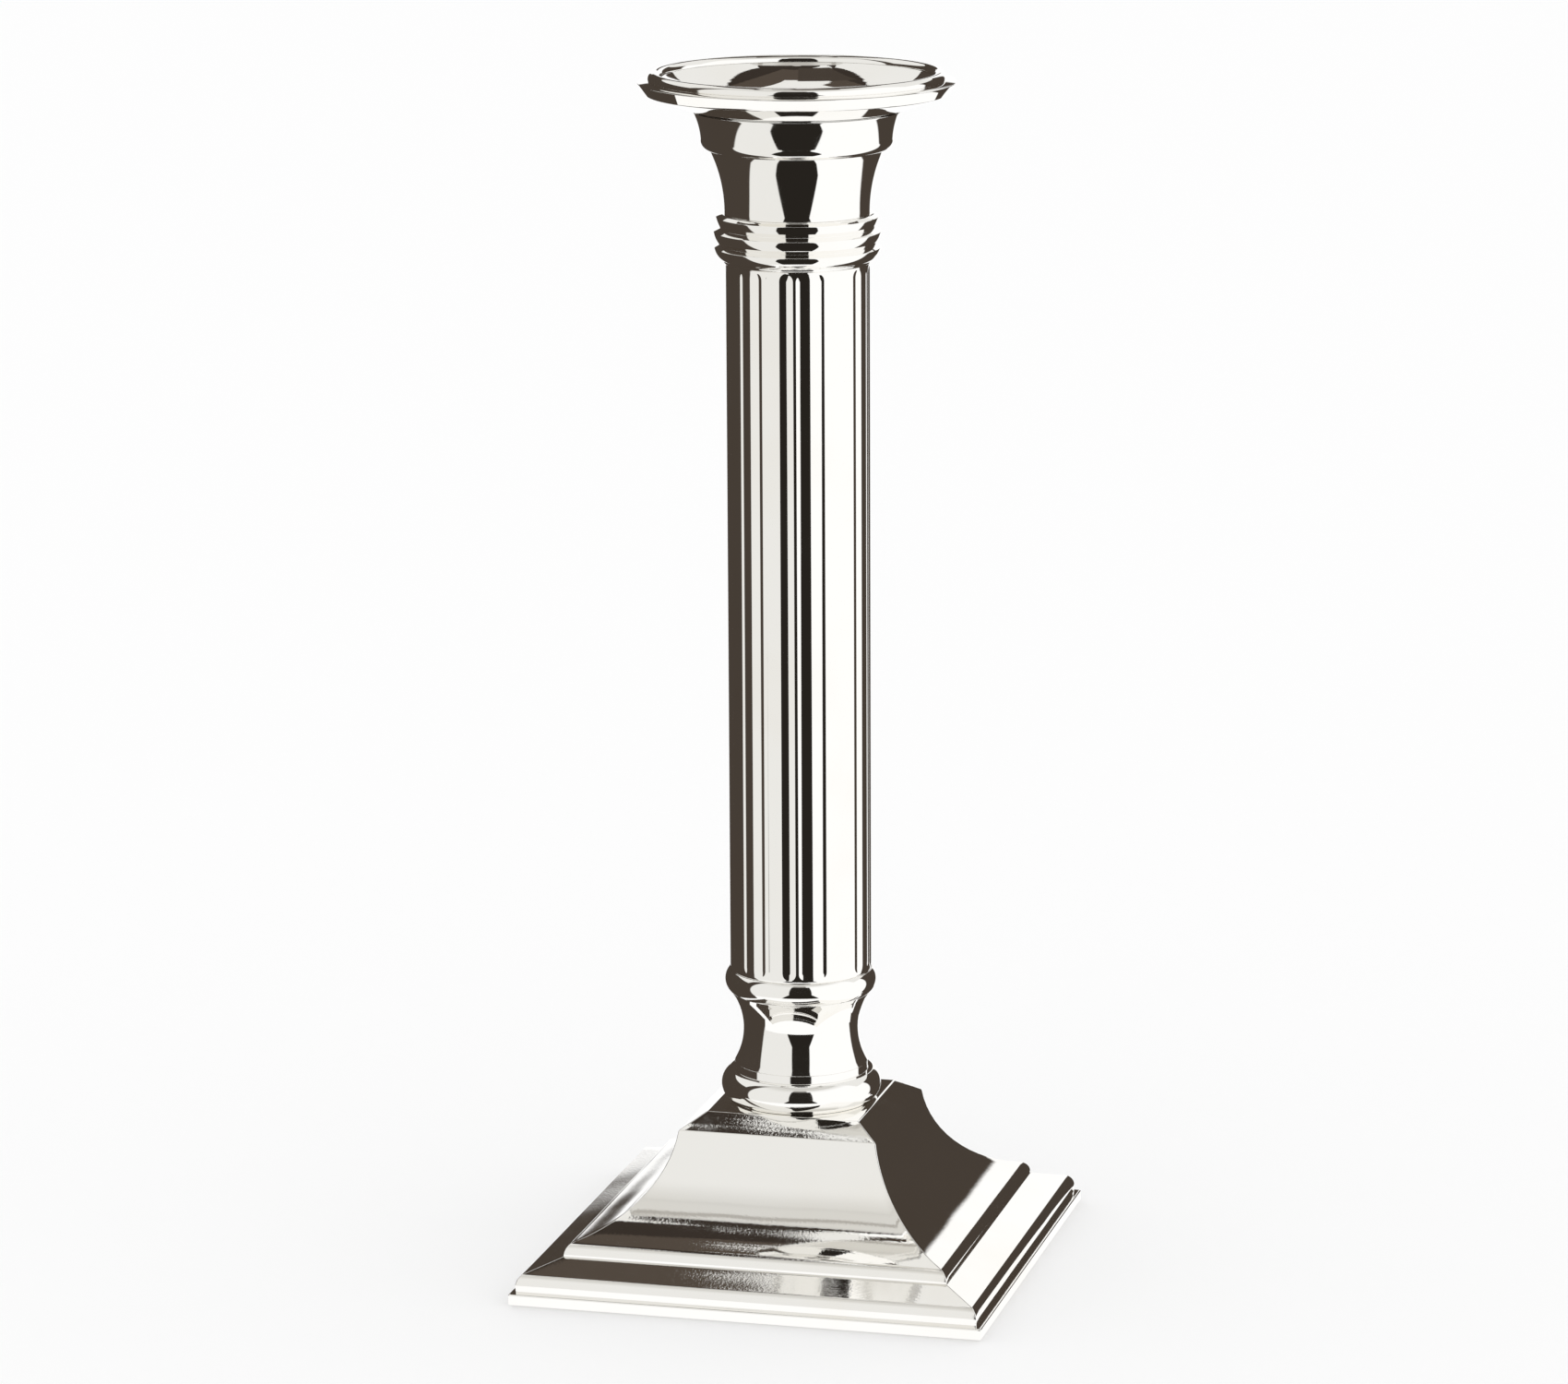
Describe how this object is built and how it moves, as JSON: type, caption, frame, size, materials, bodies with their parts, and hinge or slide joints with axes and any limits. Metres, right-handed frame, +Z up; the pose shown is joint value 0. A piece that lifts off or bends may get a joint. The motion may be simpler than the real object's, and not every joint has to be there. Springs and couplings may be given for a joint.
{
  "type": "column candlestick",
  "caption": "Silver-plated candlestick: fluted column with a beaded neck collar, flared capital, lift-off drip-pan nozzle and a square stepped base.",
  "frame": {"origin": "centre of the resting face, under the felt pad", "axes": "+Z up the column, +X and +Y square to the sides of the base"},
  "size_m": [0.1146, 0.1146, 0.2875],
  "materials": {
    "silver": "polished",
    "brass": "satin",
    "steel": "satin",
    "plate_steel": "satin",
    "cement": "matte",
    "felt": "matte"
  },
  "bodies": {
    "candlestick": {"socket_cup": "silver", "socket_boss": "brass", "capital": "silver", "neck_collar": "silver", "fluted_column": "silver", "column_core": "cement", "lower_collar": "silver", "neck": "silver", "neck_core": "cement", "base_ring": "silver", "base_shell": "silver", "foot_band": "silver", "base_weight": "cement", "bottom_plate": "plate_steel", "felt_pad": "felt", "tie_rod": "steel", "rod_washer": "steel", "rod_nut": "steel"},
    "nozzle": {"nozzle_pan": "silver", "nozzle_rim_bead": "silver", "nozzle_sleeve": "silver"}
  },
  "joints": [
    {"name": "nozzle_lift", "type": "slide", "parent": "candlestick", "child": "nozzle", "axis": [0, 0, 1], "range_m": [0, 0.03]}
  ]
}
